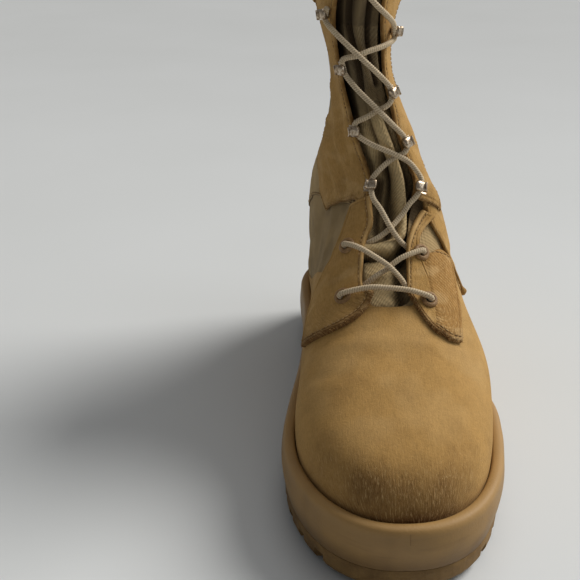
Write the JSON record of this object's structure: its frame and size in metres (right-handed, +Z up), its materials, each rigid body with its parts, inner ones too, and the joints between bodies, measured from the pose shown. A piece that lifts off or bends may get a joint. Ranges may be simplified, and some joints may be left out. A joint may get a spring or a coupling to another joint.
{
  "type": "combat boot",
  "caption": "Left lace-up desert combat boot with a bulbous safety toe, suede flaps, nylon shaft, padded tongue, metal eyelets and hooks, and a thick rubber cup sole.",
  "frame": {"origin": "on the floor under the middle of the boot's box, between its two sides and between toe and heel", "axes": "+Z up, -Y towards the toe, +X to the boot's lateral side, which is the wearer's left"},
  "size_m": [0.1166, 0.3044, 0.2385],
  "materials": {
    "nylon_and_suede_shell": "sand nylon and suede",
    "suede": "napped tan suede",
    "tongue_fabric": "sand twill",
    "sole_rubber": "matt tan rubber",
    "tread_rubber": "matt tan rubber",
    "footbed": "dark felt",
    "nickel": "nickel",
    "lace_cord": "braided cord"
  },
  "bodies": {
    "root": {"backstay": "suede", "collar": "suede", "eyelet_lateral_1": "nickel", "eyelet_lateral_2": "nickel", "eyelet_medial_1": "nickel", "eyelet_medial_2": "nickel", "flap_lateral": "suede", "flap_medial": "suede", "hook_lateral_3": "nickel", "hook_lateral_4": "nickel", "hook_lateral_5": "nickel", "hook_lateral_6": "nickel", "hook_medial_3": "nickel", "hook_medial_4": "nickel", "hook_medial_5": "nickel", "hook_medial_6": "nickel", "insole": "footbed", "lace_bar": "lace_cord", "lace_cross_1": "lace_cord", "lace_cross_2": "lace_cord", "lace_cross_3": "lace_cord", "lace_cross_4": "lace_cord", "lace_cross_5": "lace_cord", "midsole": "sole_rubber", "outsole": "tread_rubber", "stay_lateral": "suede", "stay_medial": "suede", "tongue": "tongue_fabric", "upper": "nylon_and_suede_shell"}
  },
  "joints": []
}
